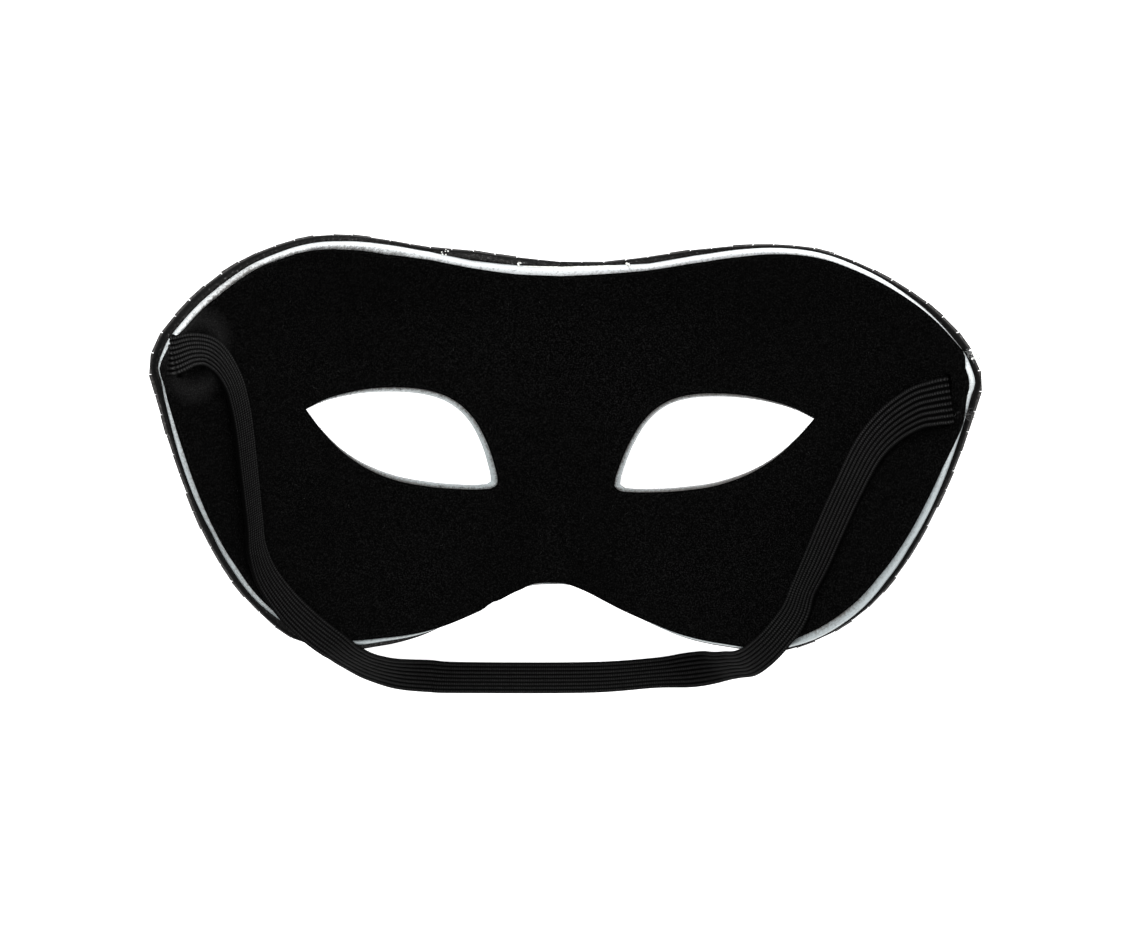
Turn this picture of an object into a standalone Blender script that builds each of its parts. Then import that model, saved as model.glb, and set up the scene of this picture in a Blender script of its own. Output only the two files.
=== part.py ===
"""Half-face party eye mask: a moulded base with a flocked lining behind it, a mosaic
cover on its front and a flat braided elastic strap.

The mask lies on its front, hollow side up, as it rests on a table by itself. Its pieces
are modelled upright in the face frame: X across the face, Y towards the brow, Z from the
front towards the wearer, zero at the bridge. The empty mask_frame then leans that frame
and sets it down, so that the nose tip and the two brows stand on the plane z = 0.
"""

import math

import bmesh
import bpy
from mathutils import Matrix, Vector

# Overall sizes of the moulded base, in metres, at the edge of its inner face
HALF_WIDTH = 0.0898
FACE_HEIGHT = 0.0920
TEMPLE_DEPTH = 0.0495
WRAP_POWER = 2.3

# Layers, from the face outwards, and the clearance between two of them
LINING_THICKNESS = 0.0009
BASE_THICKNESS = 0.0016
COVER_THICKNESS = 0.0015
CLEARANCE = 0.0003

# How far the lining stops short of the base's edge, and the cover stands past it
LINING_INSET_BROW = 0.0013
LINING_INSET_SIDE = 0.0002
LINING_INSET_EYE = 0.0004
COVER_OVERHANG_BROW = 0.0007
COVER_OVERHANG_SIDE = 0.0002
COVER_INSET_EYE = 0.0008

# Eye holes, on the inner face of the base
EYE_X = 0.0364
EYE_Y = -0.0009
EYE_HALF_LENGTH = 0.0219
EYE_HALF_HEIGHT = 0.0118

# Relief of the face
BROW_ROLL_START = 0.0140
BROW_ROLL_RADIUS = 0.0560
CHEEK_ROLL_START = -0.0190
CHEEK_ROLL_RADIUS = 0.0560
BROW_X = 0.0350
BROW_Y = 0.0260
BROW_SPREAD_X = 0.0220
BROW_SPREAD_Y = 0.0120
BROW_HEIGHT = 0.0045
SOCKET_SPREAD_X = 0.0230
SOCKET_SPREAD_Y = 0.0135
SOCKET_DEPTH = 0.0025
CHEEK_X = 0.0450
CHEEK_Y = -0.0270
CHEEK_SPREAD_X = 0.0200
CHEEK_SPREAD_Y = 0.0130
CHEEK_HEIGHT = 0.0025
NOSE_ROOT_Y = 0.0200
NOSE_TIP_Y = -0.0360
NOSE_HEIGHT = 0.0125
NOSE_SPREAD_ROOT = 0.0095
NOSE_SPREAD_TIP = 0.0155
NOSE_GROWTH = 1.25

# How the mask rests on its front
REST_LEAN = math.radians(10.2)
REST_FLAT_DEPTH = 0.00025

# Strap, and the slots of the lining that its ends go through: how far each lies in from
# the widest place of the base, and its height as a share of FACE_HEIGHT
STRAP_WIDTH = 0.0070
STRAP_THICKNESS = 0.0011
SLOT_PLAY = 0.0007
SLOT_LEFT_INSET = 0.0036
SLOT_LEFT_HEIGHT = 0.2315
SLOT_RIGHT_INSET = 0.0045
SLOT_RIGHT_HEIGHT = 0.1609

# Mesh spacing
BROW_STATIONS = 20
SIDE_STATIONS = 13
CHEEK_STATIONS = 12
NOSE_STATIONS = 11
RING_SHARES = (0.0, 0.14, 0.34, 0.58, 0.82, 1.0)
CURVE_STEPS = 12

# Outline of the base's right half, from the brow's middle to the nose arch: x as a
# share of HALF_WIDTH, y of FACE_HEIGHT. The rows of OUTLINE_JOINTS part its sections.
OUTLINE = (
    (0.000, 0.428),
    (0.115, 0.433),
    (0.229, 0.445),
    (0.344, 0.462),
    (0.436, 0.480),
    (0.528, 0.491),
    (0.620, 0.488),
    (0.711, 0.464),
    (0.803, 0.423),
    (0.895, 0.361),
    (0.964, 0.291),
    (0.988, 0.249),
    (1.000, 0.207),
    (0.991, 0.168),
    (0.982, 0.122),
    (0.956, 0.020),
    (0.924, -0.084),
    (0.882, -0.194),
    (0.831, -0.293),
    (0.762, -0.383),
    (0.665, -0.460),
    (0.551, -0.503),
    (0.436, -0.503),
    (0.321, -0.490),
    (0.209, -0.456),
    (0.104, -0.415),
    (0.046, -0.4015),
    (0.000, -0.399),
)
OUTLINE_JOINTS = (0, 12, 21, 27)

# Right eye hole, from its middle: x as a share of EYE_HALF_LENGTH, y of EYE_HALF_HEIGHT
UPPER_LID = (
    (-1.000, -0.920),
    (-0.982, -0.688),
    (-0.883, -0.128),
    (-0.731, 0.392),
    (-0.529, 0.744),
    (-0.283, 0.928),
    (0.031, 1.000),
    (0.390, 0.984),
    (0.749, 0.864),
    (1.000, 0.680),
)
UPPER_LID_JOINTS = (0, 4, 9)
LOWER_LID = (
    (1.000, 0.680),
    (0.839, 0.288),
    (0.614, -0.152),
    (0.345, -0.512),
    (0.031, -0.776),
    (-0.283, -0.912),
    (-0.596, -0.984),
    (-0.919, -1.008),
    (-1.000, -0.920),
)
LOWER_LID_JOINTS = (0, 4, 8)

# Middle line of the strap where the mask rests, from the left slot to the right one:
# x, y and z in millimetres, the tilt of its width in degrees, and its width as a share
# of STRAP_WIDTH, which grows where the right end is fanned out
STRAP_ROUTE = (
    (-85.5, 26.4, 49.4, 7, 1.07),
    (-84.6, 26.4, 50.1, 18, 1.07),
    (-83.1, 27.0, 49.9, 6, 1.04),
    (-79.8, 27.2, 46.5, 36, 1.00),
    (-77.3, 24.3, 43.2, 50, 1.00),
    (-74.9, 20.0, 41.3, 57, 1.00),
    (-73.3, 15.3, 40.4, 58, 1.00),
    (-71.9, 8.4, 40.4, 59, 1.00),
    (-70.7, -1.0, 41.1, 60, 1.00),
    (-69.2, -13.5, 41.7, 62, 1.00),
    (-68.5, -20.3, 41.9, 58, 1.00),
    (-66.3, -27.1, 40.8, 48, 1.00),
    (-61.9, -33.5, 40.6, 36, 1.00),
    (-57.7, -38.2, 39.8, 24, 1.00),
    (-53.9, -41.8, 38.8, 14, 1.00),
    (-50.4, -44.5, 38.4, 4, 1.00),
    (-46.9, -49.2, 32.5, -3, 1.00),
    (-41.7, -56.1, 21.0, 0, 1.00),
    (-35.0, -62.5, 8.7, 0, 1.00),
    (-27.9, -65.7, 1.9, 0, 1.00),
    (-19.8, -66.0, 0.9, 0, 1.00),
    (10.5, -65.5, 0.9, 0, 1.00),
    (26.5, -64.1, 0.9, 0, 1.00),
    (34.3, -62.6, 1.9, 0, 1.00),
    (39.3, -59.9, 6.8, 0, 1.00),
    (42.5, -54.5, 18.5, -2, 1.00),
    (44.9, -48.6, 31.0, -4, 1.00),
    (47.5, -44.8, 36.0, 2, 1.00),
    (50.7, -40.7, 38.4, 16, 1.00),
    (54.6, -35.9, 36.5, 33, 1.00),
    (56.8, -30.8, 34.0, 46, 1.00),
    (59.5, -23.5, 34.0, 34, 1.00),
    (61.9, -15.8, 35.0, 29, 1.00),
    (65.2, -5.5, 36.9, 24, 1.00),
    (69.4, 4.2, 39.2, 24, 1.06),
    (74.2, 11.0, 42.2, 29, 1.20),
    (79.0, 16.8, 47.3, 39, 1.38),
    (81.9, 19.9, 49.7, 13, 1.46),
    (83.6, 19.9, 49.8, 15, 1.46),
    (84.7, 19.8, 49.0, 13, 1.46),
)
STRAP_STEPS = 2
MM = 0.001
MERGE_DISTANCE = 0.0001

# Colour, roughness and metallic value of each piece
MATERIALS = {
    "mask_base": ((0.80, 0.83, 0.84, 1.0), 0.35, 0.0),
    "lining": ((0.010, 0.010, 0.011, 1.0), 0.95, 0.0),
    "mosaic_cover": ((0.09, 0.09, 0.10, 1.0), 0.25, 0.6),
    "elastic_strap": ((0.022, 0.022, 0.024, 1.0), 0.85, 0.0),
}


def hills(x, y, middle, spread):
    """Two equal smooth hills, one on each side of the centre line, of height 1."""
    right = math.exp(-(((x - middle[0]) / spread[0]) ** 2))
    left = math.exp(-(((x + middle[0]) / spread[0]) ** 2))
    return (right + left) * math.exp(-(((y - middle[1]) / spread[1]) ** 2))


def nose_ridge(x, y):
    """Height of the nose, which grows and widens from its root to its tip."""
    way = max(0.0, (NOSE_ROOT_Y - y) / (NOSE_ROOT_Y - NOSE_TIP_Y))
    spread = NOSE_SPREAD_ROOT + (NOSE_SPREAD_TIP - NOSE_SPREAD_ROOT) * way
    return NOSE_HEIGHT * way**NOSE_GROWTH * math.exp(-((x / spread) ** 2))


def face_depth(x, y):
    """Z of the base's inner face at a point of the face plane."""
    z = TEMPLE_DEPTH * (abs(x) / HALF_WIDTH) ** WRAP_POWER
    z += max(0.0, y - BROW_ROLL_START) ** 2 / (2 * BROW_ROLL_RADIUS)
    z += max(0.0, CHEEK_ROLL_START - y) ** 2 / (2 * CHEEK_ROLL_RADIUS)
    z -= BROW_HEIGHT * hills(x, y, (BROW_X, BROW_Y), (BROW_SPREAD_X, BROW_SPREAD_Y))
    z += SOCKET_DEPTH * hills(x, y, (EYE_X, EYE_Y), (SOCKET_SPREAD_X, SOCKET_SPREAD_Y))
    z -= CHEEK_HEIGHT * hills(x, y, (CHEEK_X, CHEEK_Y), (CHEEK_SPREAD_X, CHEEK_SPREAD_Y))
    return z - nose_ridge(x, y)


def on_face(x, y):
    return Vector((x, y, face_depth(x, y)))


def inward_normal(x, y):
    """Unit vector out of the inner face, towards the wearer."""
    step = HALF_WIDTH / 1000
    along_x = on_face(x + step, y) - on_face(x - step, y)
    along_y = on_face(x, y + step) - on_face(x, y - step)
    return along_x.cross(along_y).normalized()


def smooth_line(points, steps=CURVE_STEPS):
    """Points along a Catmull-Rom curve through the given ones, steps to each span."""
    first = 2 * points[0] - points[1]
    last = 2 * points[-1] - points[-2]
    padded = [first, *points, last]
    line = []
    for a, b, c, d in zip(padded, padded[1:], padded[2:], padded[3:]):
        for step in range(steps):
            t = step / steps
            bend = (2 * a - 5 * b + 4 * c - d) * t**2 + (3 * b - a - 3 * c + d) * t**3
            line.append(0.5 * (2 * b + (c - a) * t + bend))
    line.append(points[-1])
    return line


def spaced(line, count):
    """count points at equal steps along a line, its first one among them, its last not."""
    lengths = [0.0]
    for start, end in zip(line, line[1:]):
        lengths.append(lengths[-1] + (end - start).length)
    points = []
    segment = 0
    for number in range(count):
        goal = lengths[-1] * number / count
        while lengths[segment + 1] < goal:
            segment += 1
        share = (goal - lengths[segment]) / (lengths[segment + 1] - lengths[segment])
        points.append(line[segment].lerp(line[segment + 1], share))
    return points


def sections(table, size, middle, joints, stations):
    """The stations of each section of one smooth line through a table's points."""
    points = [middle + Vector((x * size[0], y * size[1])) for x, y in table]
    line = smooth_line(points)
    made = []
    for start, end, count in zip(joints, joints[1:], stations):
        part = line[start * CURVE_STEPS : end * CURVE_STEPS + 1]
        made.append(spaced(part, count))
    return made


def outline_points():
    """The right half's outer loop: brow, side, cheek, then up the centre line."""
    size = (HALF_WIDTH, FACE_HEIGHT)
    counts = (BROW_STATIONS, SIDE_STATIONS, CHEEK_STATIONS)
    brow, side, cheek = sections(OUTLINE, size, Vector((0, 0)), OUTLINE_JOINTS, counts)
    bottom = Vector((0.0, OUTLINE[-1][1] * FACE_HEIGHT))
    return brow + side + cheek + spaced([bottom, brow[0]], NOSE_STATIONS)


def eye_points():
    """The right eye hole's loop, whose points face those of the outer loop."""
    size = (EYE_HALF_LENGTH, EYE_HALF_HEIGHT)
    middle = Vector((EYE_X, EYE_Y))
    upper = sections(
        UPPER_LID, size, middle, UPPER_LID_JOINTS, (NOSE_STATIONS, BROW_STATIONS)
    )
    lower = sections(
        LOWER_LID, size, middle, LOWER_LID_JOINTS, (SIDE_STATIONS, CHEEK_STATIONS)
    )
    return upper[1] + lower[0] + lower[1] + upper[0]


def outward(loop, number):
    """Unit vector in the face plane, out of a clockwise loop at one of its points."""
    along = loop[(number + 1) % len(loop)] - loop[number - 1]
    return Vector((-along.y, along.x)).normalized()


def edge_offset(out, at_brow, at_side):
    """How far an edge is moved, from its direction: nothing at the cheeks and nose."""
    return at_brow * max(0.0, out.y) ** 2 + at_side * out.x**2


def moved_outline(loop, at_brow, at_side):
    """The outer loop with its free edge moved outwards."""
    free = BROW_STATIONS + SIDE_STATIONS + CHEEK_STATIONS
    moved = list(loop)
    for number in range(1, free):
        out = outward(loop, number)
        moved[number] = loop[number] + out * edge_offset(out, at_brow, at_side)
    moved[0] = loop[0] + Vector((0.0, at_brow))
    return moved


def grown_eye(loop, growth):
    return [point + outward(loop, number) * growth for number, point in enumerate(loop)]


def face_sheet(name, at_brow, at_side, eye_growth):
    """The right half of the face as an open sheet, lofted from the eye hole outwards."""
    outline = outline_points()
    eye = eye_points()
    edges = (grown_eye(eye, eye_growth), moved_outline(outline, at_brow, at_side))
    mesh = bmesh.new()
    rings = []
    for share in RING_SHARES:
        if share == 0.0:
            places = edges[0]
        elif share == 1.0:
            places = edges[1]
        else:
            places = [a.lerp(b, share) for a, b in zip(eye, outline)]
        rings.append([mesh.verts.new(on_face(*place)) for place in places])
    for inner, outer in zip(rings, rings[1:]):
        for number, corner in enumerate(inner):
            mesh.faces.new((corner, inner[number - 1], outer[number - 1], outer[number]))
    bmesh.ops.recalc_face_normals(mesh, faces=mesh.faces)
    if sum(face.normal.z for face in mesh.faces) < 0:
        bmesh.ops.reverse_faces(mesh, faces=mesh.faces)
    data = bpy.data.meshes.new(name)
    mesh.to_mesh(data)
    mesh.free()
    data.shade_smooth()
    return data


def strap_sheet(name):
    """The strap as an open ribbon through the middle of its thickness."""
    places = smooth_line([Vector(row[:3]) * MM for row in STRAP_ROUTE], STRAP_STEPS)
    shapes = smooth_line([Vector(row[3:]) for row in STRAP_ROUTE], STRAP_STEPS)
    mesh = bmesh.new()
    pairs = []
    for number, (place, (tilt, share)) in enumerate(zip(places, shapes)):
        ahead = places[min(number + 1, len(places) - 1)]
        along = (ahead - places[max(number - 1, 0)]).normalized()
        level = along.cross(Vector((0.0, 0.0, 1.0))).normalized()
        turn = Matrix.Rotation(-math.radians(tilt), 3, along)
        reach = turn @ level * (share * STRAP_WIDTH / 2)
        pairs.append((mesh.verts.new(place - reach), mesh.verts.new(place + reach)))
    for (left, right), (next_left, next_right) in zip(pairs, pairs[1:]):
        mesh.faces.new((left, right, next_right, next_left))
    data = bpy.data.meshes.new(name)
    mesh.to_mesh(data)
    mesh.free()
    return data


def add_strap(name, collection):
    strap = add_piece(name, strap_sheet(name), collection)
    wall = strap.modifiers.new("wall", "SOLIDIFY")
    wall.thickness = STRAP_THICKNESS
    wall.offset = 0.0
    wall.use_even_offset = True


def material(name):
    """The Principled material of one piece."""
    colour, roughness, metallic = MATERIALS[name]
    made = bpy.data.materials.new(name)
    made.use_nodes = True
    made.diffuse_color = colour
    shader = made.node_tree.nodes["Principled BSDF"]
    shader.inputs["Base Color"].default_value = colour
    shader.inputs["Roughness"].default_value = roughness
    shader.inputs["Metallic"].default_value = metallic
    return made


def add_piece(name, data, collection, parent=None):
    piece = bpy.data.objects.new(name, data)
    piece.parent = parent
    data.materials.append(material(name))
    collection.objects.link(piece)
    return piece


def face_layer(name, start, end, collection, frame, edges):
    """A layer of the face between two distances out of the base's inner face."""
    piece = add_piece(name, face_sheet(name, *edges), collection, frame)
    mirror = piece.modifiers.new("mirror", "MIRROR")
    mirror.merge_threshold = MERGE_DISTANCE
    mirror.use_clip = True
    wall = piece.modifiers.new("wall", "SOLIDIFY")
    wall.thickness = end - start
    wall.offset = -(start + end) / (end - start)
    wall.use_even_offset = True
    wall.use_quality_normals = True
    return piece


def add_cutter(name, size, collection):
    """A box that cuts a piece and isn't built itself."""
    data = bpy.data.meshes.new(name)
    mesh = bmesh.new()
    bmesh.ops.create_cube(mesh, size=1.0, matrix=Matrix.Diagonal((*size, 1.0)))
    mesh.to_mesh(data)
    mesh.free()
    cutter = bpy.data.objects.new(name, data)
    cutter.display_type = "WIRE"
    cutter.hide_render = True
    collection.objects.link(cutter)
    return cutter


def cut(piece, cutter):
    boolean = piece.modifiers.new(cutter.name, "BOOLEAN")
    boolean.operation = "DIFFERENCE"
    boolean.object = cutter


def cut_slot(lining, name, place, strap_share, collection, frame):
    """A slot through the lining for one end of the strap, upright on the face."""
    width = STRAP_THICKNESS + 2 * SLOT_PLAY
    length = STRAP_WIDTH * strap_share + 2 * SLOT_PLAY
    middle = -(CLEARANCE + LINING_THICKNESS / 2)
    reach = 4 * LINING_THICKNESS
    cutter = add_cutter(name, (width, length, reach), collection)
    normal = inward_normal(*place)
    along = (Vector((0.0, 1.0, 0.0)) - normal * normal.y).normalized()
    turn = Matrix((along.cross(normal), along, normal)).transposed()
    cutter.parent = frame
    cutter.matrix_local = Matrix.Translation(on_face(*place) - normal * middle) @ turn.to_4x4()
    cut(lining, cutter)


def world_corners(pieces):
    """Lowest and highest corner of some pieces as evaluated."""
    bpy.context.view_layer.update()
    graph = bpy.context.evaluated_depsgraph_get()
    low = Vector((math.inf,) * 3)
    high = -low
    for piece in pieces:
        shaped = piece.evaluated_get(graph)
        mesh = shaped.to_mesh()
        for vertex in mesh.vertices:
            place = shaped.matrix_world @ vertex.co
            low = Vector(map(min, low, place))
            high = Vector(map(max, high, place))
        shaped.to_mesh_clear()
    return low, high


def set_down(frame, pieces):
    """Leans the mask and stands it on z = 0, with the middle of its box over the origin."""
    frame.rotation_euler.x = -REST_LEAN
    low, high = world_corners(pieces)
    frame.location = (0.0, -(low.y + high.y) / 2, -low.z - REST_FLAT_DEPTH)


def cut_rest_flats(cover, collection):
    """Flattens the cover where it touches the table, at the nose tip and both brows."""
    depth = COVER_THICKNESS
    size = (3 * HALF_WIDTH, 3 * FACE_HEIGHT, depth)
    cutter = add_cutter("table_cutter", size, collection)
    cutter.location.z = -depth / 2
    cut(cover, cutter)


def clear_scene():
    for thing in list(bpy.data.objects):
        bpy.data.objects.remove(thing, do_unlink=True)


def main():
    clear_scene()
    collection = bpy.data.collections.new("party_eye_mask")
    cutters = bpy.data.collections.new("cutters")
    bpy.context.scene.collection.children.link(collection)
    bpy.context.scene.collection.children.link(cutters)
    frame = bpy.data.objects.new("mask_frame", None)
    collection.objects.link(frame)

    base_edges = (0.0, 0.0, 0.0)
    lining_edges = (-LINING_INSET_BROW, -LINING_INSET_SIDE, LINING_INSET_EYE)
    cover_edges = (COVER_OVERHANG_BROW, COVER_OVERHANG_SIDE, COVER_INSET_EYE)
    cover_start = BASE_THICKNESS + CLEARANCE
    cover_end = cover_start + COVER_THICKNESS
    lining_start = -CLEARANCE - LINING_THICKNESS

    base = face_layer("mask_base", 0.0, BASE_THICKNESS, collection, frame, base_edges)
    lining = face_layer("lining", lining_start, -CLEARANCE, collection, frame, lining_edges)
    cover = face_layer("mosaic_cover", cover_start, cover_end, collection, frame, cover_edges)
    set_down(frame, (base, lining, cover))
    left = (SLOT_LEFT_INSET - HALF_WIDTH, SLOT_LEFT_HEIGHT * FACE_HEIGHT)
    right = (HALF_WIDTH - SLOT_RIGHT_INSET, SLOT_RIGHT_HEIGHT * FACE_HEIGHT)
    cut_slot(lining, "slot_cutter_left", left, STRAP_ROUTE[0][4], cutters, frame)
    cut_slot(lining, "slot_cutter_right", right, STRAP_ROUTE[-1][4], cutters, frame)
    cut_rest_flats(cover, cutters)
    add_strap("elastic_strap", collection)


main()
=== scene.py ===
"""Looks of the party eye mask: a moulded base with a flocked lining, a front of small dark
mirror tiles and a ribbed elastic strap. The mask lies on its front, hollow side up.
"""

import math

import bmesh
import bpy
import numpy as np
from mathutils import Matrix, Vector


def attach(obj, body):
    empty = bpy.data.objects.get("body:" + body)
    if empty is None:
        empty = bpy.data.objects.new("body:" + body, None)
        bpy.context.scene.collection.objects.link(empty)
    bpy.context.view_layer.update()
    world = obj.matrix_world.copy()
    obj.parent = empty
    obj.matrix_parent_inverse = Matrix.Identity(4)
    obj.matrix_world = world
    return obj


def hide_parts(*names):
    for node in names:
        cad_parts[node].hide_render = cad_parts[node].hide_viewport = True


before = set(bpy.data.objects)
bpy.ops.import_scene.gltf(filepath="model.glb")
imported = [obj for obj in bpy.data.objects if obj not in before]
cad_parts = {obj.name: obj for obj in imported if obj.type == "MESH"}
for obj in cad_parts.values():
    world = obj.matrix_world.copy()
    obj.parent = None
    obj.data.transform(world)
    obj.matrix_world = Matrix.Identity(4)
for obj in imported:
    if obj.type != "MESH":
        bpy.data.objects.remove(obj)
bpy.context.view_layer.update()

# Overall sizes of the moulded base, in metres, at the edge of its inner face
HALF_WIDTH = 0.0898
FACE_HEIGHT = 0.0920
TEMPLE_DEPTH = 0.0495
WRAP_POWER = 2.3

# Relief of the face
BROW_ROLL_START = 0.0140
BROW_ROLL_RADIUS = 0.0560
CHEEK_ROLL_START = -0.0190
CHEEK_ROLL_RADIUS = 0.0560
BROW = (0.0350, 0.0260)
BROW_SPREAD = (0.0220, 0.0120)
BROW_HEIGHT = 0.0045
SOCKET_SPREAD = (0.0230, 0.0135)
SOCKET_DEPTH = 0.0025
CHEEK = (0.0450, -0.0270)
CHEEK_SPREAD = (0.0200, 0.0130)
CHEEK_HEIGHT = 0.0025
NOSE_ROOT_Y = 0.0200
NOSE_TIP_Y = -0.0360
NOSE_HEIGHT = 0.0125
NOSE_SPREAD_ROOT = 0.0095
NOSE_SPREAD_TIP = 0.0155
NOSE_GROWTH = 1.25

# Eye holes. The base's edge leans into them, by side: left, then right; the left hole is
# drawn a little towards the nose.
EYE = (0.0364, -0.0009)
EYE_HALF_LENGTH = 0.0219
EYE_HALF_HEIGHT = 0.0118
EYE_LIP = (0.0004, 0.0001)
EYE_LIP_AT_NOSE = (0.0002, 0.0004)
EYE_DRAWN_TO_NOSE = (0.0011, 0.0)

# Layers: how far each lies out of the base's inner face, towards the front
LINING_TOP = -0.0012
LINING_BACK = -0.00006
BASE_BACK = 0.0016
BACKING_TOP = 0.0019
TILE_BACK = 0.0024
TILE_FRONT = 0.0034

# How far the lining stops short of the base's edge, and the cover stands past it
LINING_INSET_BROW = 0.0013
LINING_INSET_SIDE = 0.0002
LINING_INSET_EYE = 0.0004
COVER_OVERHANG_BROW = 0.0007
COVER_OVERHANG_SIDE = 0.0002
COVER_INSET_EYE = 0.0008
BACKING_INSET_BROW = 0.00005
BACKING_INSET_SIDE = 0.0003

# How the mask rests: its lean about X, and where the face frame's origin then is
REST_LEAN = math.radians(10.2)
REST_TURN = Matrix.Rotation(-REST_LEAN, 3, "X")
REST_PLACE = Vector((0.0, -0.002633, 0.0077966))

# Strap
STRAP_WIDTH = 0.0070
STRAP_THICKNESS = 0.0011
STRAP_LENGTH = 0.325
STRAP_RIBS = 8
STRAP_STEPS = 16
STITCHES_IN_A_WIDTH = 13
MM = 0.001

# Slots of the lining: place in the face frame, length and width of the cut
SLOT_LEFT = (-0.0862, 0.0213, 0.0088)
SLOT_RIGHT = (0.0853, 0.0148, 0.0116)
SLOT_WIDTH = 0.0018
SLOT_FLOOR = 0.00025
SLOT_TOP = 0.0030

# Mosaic
TILE_PITCH = 0.0050
TILE_GAP = 0.00022
EYE_TILE_PITCH = 0.0042
EYE_TILE_DEPTH = 0.0030
TILE_BEVEL = 0.00022
SMALLEST_TILE = 1.2e-6

RIB_WIDTH = 0.00094
# Painted light: how pale the elastic is along its length, most at its ends: place and level, both as
# shares
STRAP_PAINTED_LIGHT = ((0.03, 1.0), (0.10, 0.57), (0.86, 0.57), (0.97, 0.74))
# One rib of the strap's section: place across it and height, both as shares
RIB_PROFILE = (
    (-1.0, 0.34), (-0.8, 0.66), (-0.45, 0.92), (0.0, 1.0), (0.45, 0.92), (0.8, 0.66), (1.0, 0.34),
)

# Small flaws: the tiles' tilt, thickness and play at the free edge
TILE_TILT = 0.012
TILE_THINNEST = 0.86
EDGE_PLAY = (-0.00016, 0.00010)

# Hair: its width, how much it bends, where along it the bend lies, and its three sides;
# then the flock's hairs along the lining's edge: number, length, spread and rise of their ways
HAIR_WIDTH = 0.00006
HAIR_BEND = 0.35
HAIR_KNEE = 0.55
HAIR_SIDES = (0.0, 2.1, 4.2)
EDGE_HAIRS = 6000
EDGE_HAIR_LENGTH = (0.00020, 0.00055)
EDGE_HAIR_SPREAD = 0.45
EDGE_HAIR_RISE = 0.25
# Round marks that the strap's knotted ends press into the lining, painted as paler rings of
# highlight: middle and radius
KNOT_HIGHLIGHT_RINGS = (
    ((-0.0820, 0.0260, 0.0460), 0.0083),
    ((0.0808, 0.0266, 0.0446), 0.0057),
)
KNOT_HIGHLIGHT_WIDTH = 0.0007
KNOT_HIGHLIGHT_LEVEL = 0.040
# Lint on the rim as a span of x and a count, in the eye holes by side, and on the lining
RIM_LINT = ((0.034, 0.080), 900)
EYE_LINT = ((-1, 900), (1, 600))
SURFACE_LINT = 110
SURFACE_LINT_SPAN = ((-0.078, -0.030), (0.078, 0.034))
# Frayed spots: name, start, end, number and length of fibres, and their material
FRAYS = (
    ("frayed_tail", (0.0862, 0.0176, 0.0524), (0.0898, 0.0170, 0.0524), 70, 0.0018, "dim"),
    ("frayed_tail_grey", (0.0868, 0.0178, 0.0526), (0.0902, 0.0172, 0.0526), 26, 0.0016, "grey"),
    ("tuft", (0.0880, 0.0312, 0.0500), (0.0908, 0.0300, 0.0506), 90, 0.0012, "pale"),
)
FRAY_SPREAD = 0.0005
# Dried glue: span of x, rise above the edge and radius of the bead; lumps as place,
# spread, number and size
GLUE_BEAD = (-0.0096, 0.0150)
GLUE_RISE = 0.00055
GLUE_RADIUS = 0.00020
GLUE_SINK = 0.0004
GLUE_STEPS = 90
GLUE_SIDES = 6
GLUE_LUMPS = (
    ((-0.0097, 0.0379, 0.0064), 0.00025, 5, 0.00030),
    ((0.0154, 0.0386, 0.0070), 0.00035, 9, 0.00032),
    ((-0.0271, 0.0408, 0.0092), 0.00050, 8, 0.00022),
    ((0.0894, 0.0306, 0.0502), 0.00060, 6, 0.00026),
)
SEED = 11

# Flock dust and painted shade on the base by the lining's edge: amount all along that edge,
# how far it reaches, and places with more of it as x, y, reach and weight in the face plane
DUST_AND_SHADE_EVERYWHERE = 0.45
DUST_AND_SHADE_REACH = 0.0009
DUST_AND_SHADE_COLOUR = (0.13, 0.125, 0.12)
DUST_AND_SHADE_PLACES = (
    (-0.0740, 0.0370, 0.0110, 1.1),
    (-0.0480, 0.0460, 0.0140, 0.7),
    (0.0100, 0.0390, 0.0100, 0.2),
    (-0.0700, -0.0150, 0.0300, 0.4),
    (0.0640, -0.0380, 0.0100, 0.7),
    (-0.0364, 0.0000, 0.0260, 1.0),
    (0.0364, 0.0000, 0.0260, 1.5),
    (0.0000, -0.0360, 0.0100, 0.8),
)
# How far the painted shade of the gap beside the base reaches under the cover's edge
GAP_DEPTH = 0.0013

# Camera, in the face frame: its distance, how far it leans towards the brow and aside
CAMERA_DISTANCE = 0.880
CAMERA_AIM_Z = 0.01236
CAMERA_RAISE = math.radians(7.0)
CAMERA_ASIDE = math.radians(3.541)
CAMERA_ROLL = math.radians(1.456)
CAMERA_LENS = 121.5
CAMERA_SHIFT_X = 0.0077
CAMERA_SHIFT_Y = -0.0196

# Light and floor
WORLD_STRENGTH = 0.75
FLOOR_SIZE = 60.0
FLOOR_GLOW = 0.80
LIGHT_AIM = (0.0, 0.0, 0.02)
LIGHTS = (
    ("key", (-0.25, 0.85, 1.10), 0.9, 16.0),
    ("fill", (0.55, -0.55, 0.90), 0.8, 5.0),
)

# Names of a node's own fields, as against its sockets
FIELDS = ("operation", "data_type", "blend_type")

# Mesh spacing
BROW_STATIONS = 80
SIDE_STATIONS = 52
CHEEK_STATIONS = 48
NOSE_STATIONS = 44
FREE_STATIONS = (BROW_STATIONS, SIDE_STATIONS, CHEEK_STATIONS)
FREE = sum(FREE_STATIONS)
MIRROR = np.array([-1.0, 1.0])
RINGS = 34
RING_CROWDING = 0.12
CURVE_STEPS = 12
SLOPE_STEP = 0.0002

# Rounded edge of a layer: its rows, how square it is upright and outwards, and its start
EDGE_ROWS = 4
EDGE_SQUARE_UP = 0.6
EDGE_SQUARE_OUT = 0.8
EDGE_START = 0.15

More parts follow.
